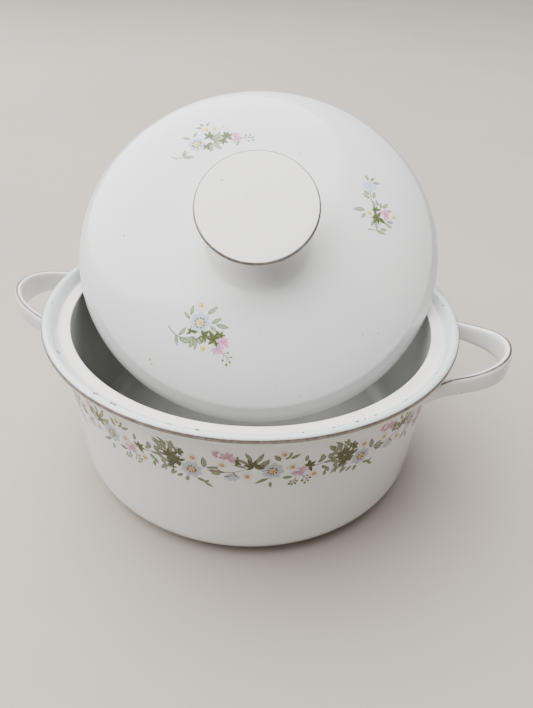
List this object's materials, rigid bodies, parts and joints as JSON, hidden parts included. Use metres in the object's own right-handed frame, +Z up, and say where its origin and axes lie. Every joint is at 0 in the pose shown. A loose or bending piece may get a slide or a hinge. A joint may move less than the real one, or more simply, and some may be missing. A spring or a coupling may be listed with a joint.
{
  "type": "covered casserole dish",
  "caption": "Round porcelain serving bowl with strap handles and a domed lid with a flat knob, the lid leaning in the bowl's mouth.",
  "frame": {"origin": "on the bowl's axis, on the plane its foot ring stands on", "axes": "+Z up along the bowl's axis, X through the two handles, the lid leaning back towards +Y"},
  "size_m": [0.2652, 0.21, 0.1717],
  "materials": {
    "bowl_porcelain": "white glazed porcelain, glossy, with an unglazed cream seat ring, a thin platinum line on the rim and a printed garland of small flowers",
    "handle_porcelain": "white glazed porcelain, glossy, with a thin platinum line along the top edge",
    "lid_porcelain": "white glazed porcelain, glossy, with three small printed sprays of flowers and an unglazed edge",
    "knob_porcelain": "white glazed porcelain, glossy, with a thin platinum line round the top edge"
  },
  "bodies": {
    "bowl": {"bowl": "bowl_porcelain", "handle_right": "handle_porcelain", "handle_left": "handle_porcelain"},
    "lid": {"lid_dome": "lid_porcelain", "lid_knob": "knob_porcelain"}
  },
  "joints": [
    {"name": "lid_lift", "type": "slide", "parent": "bowl", "child": "lid", "axis": [0, 0, 1], "range_m": [0, 0.12]}
  ]
}
